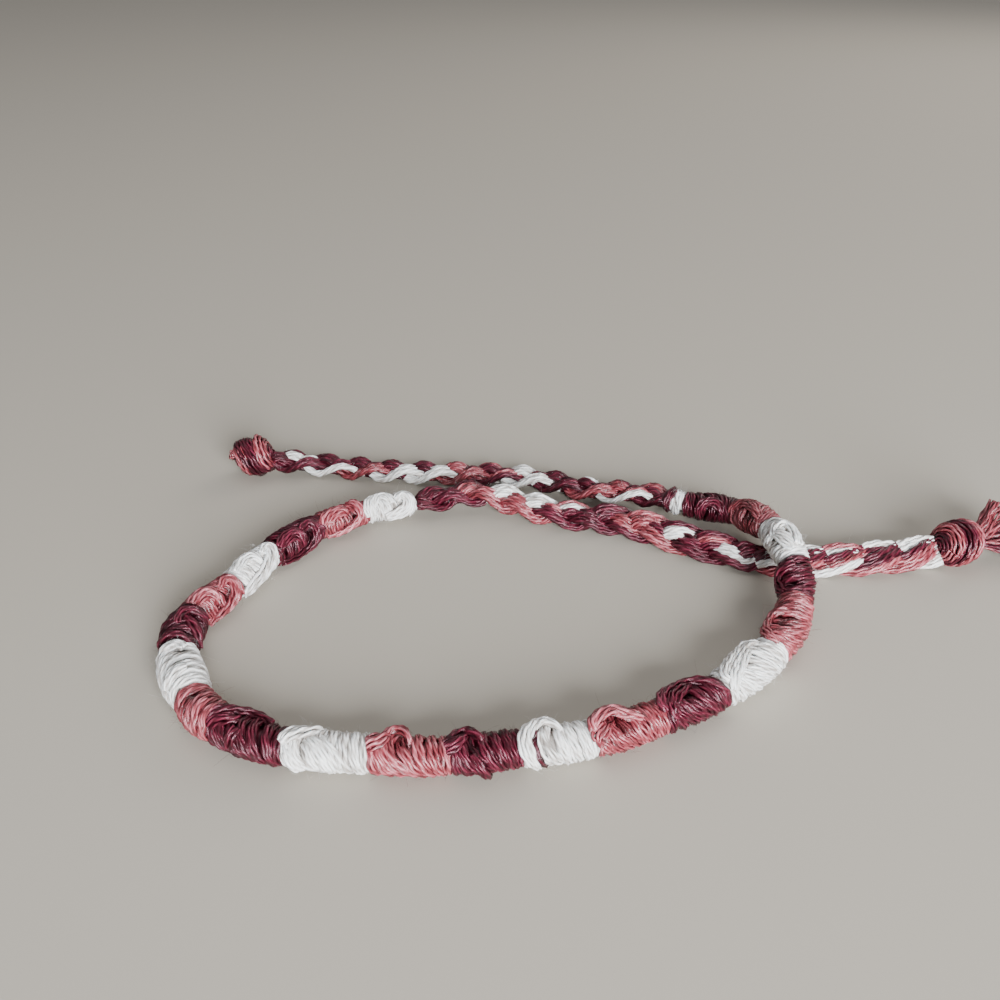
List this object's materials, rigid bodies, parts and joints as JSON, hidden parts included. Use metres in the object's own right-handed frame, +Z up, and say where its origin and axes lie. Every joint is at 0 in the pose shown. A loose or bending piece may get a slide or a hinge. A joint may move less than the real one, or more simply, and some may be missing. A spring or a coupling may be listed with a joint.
{
  "type": "knotted floss bracelet",
  "caption": "Bracelet of knotted cotton floss in bands of white, coral and burgundy, lying open in a loop, with a braided tie, knot and cut tuft at each end.",
  "frame": {"origin": "centre of the knotted band's box in plan, on the surface that it lies on", "axes": "+X along the loop's longer side towards the right tie's knot, +Y away from the loop's front, +Z up"},
  "size_m": [0.1062, 0.0637, 0.0073],
  "materials": {
    "white_floss": "soft white cotton floss, plies just visible, slightly fuzzy",
    "coral_floss": "dusty coral mercerised cotton floss with a silky sheen",
    "burgundy_floss": "deep burgundy mercerised cotton floss with a silky sheen",
    "tie_braid": "three-strand braid of white, coral and burgundy floss",
    "tie_knot": "tight overhand knot of coral and burgundy floss",
    "tie_tuft": "cut ends of floss, spread and slightly frayed"
  },
  "bodies": {
    "root": {"section_01_white": "white_floss", "section_02_coral": "coral_floss", "section_03_burgundy": "burgundy_floss", "section_04_white": "white_floss", "section_05_coral": "coral_floss", "section_06_burgundy": "burgundy_floss", "section_07_white": "white_floss", "section_08_coral": "coral_floss", "section_09_burgundy": "burgundy_floss", "section_10_white": "white_floss", "section_11_coral": "coral_floss", "section_12_burgundy": "burgundy_floss", "section_13_white": "white_floss", "section_14_coral": "coral_floss", "section_15_burgundy": "burgundy_floss", "section_16_white": "white_floss", "section_17_coral": "coral_floss", "section_18_burgundy": "burgundy_floss", "section_19_white": "white_floss", "section_20_coral": "coral_floss", "section_21_burgundy": "burgundy_floss", "section_22_white": "white_floss", "right_tie_braid": "tie_braid", "right_tie_knot": "tie_knot", "right_tie_tuft": "tie_tuft", "left_tie_braid": "tie_braid", "left_tie_knot": "tie_knot", "left_tie_tuft": "tie_tuft"}
  },
  "joints": []
}
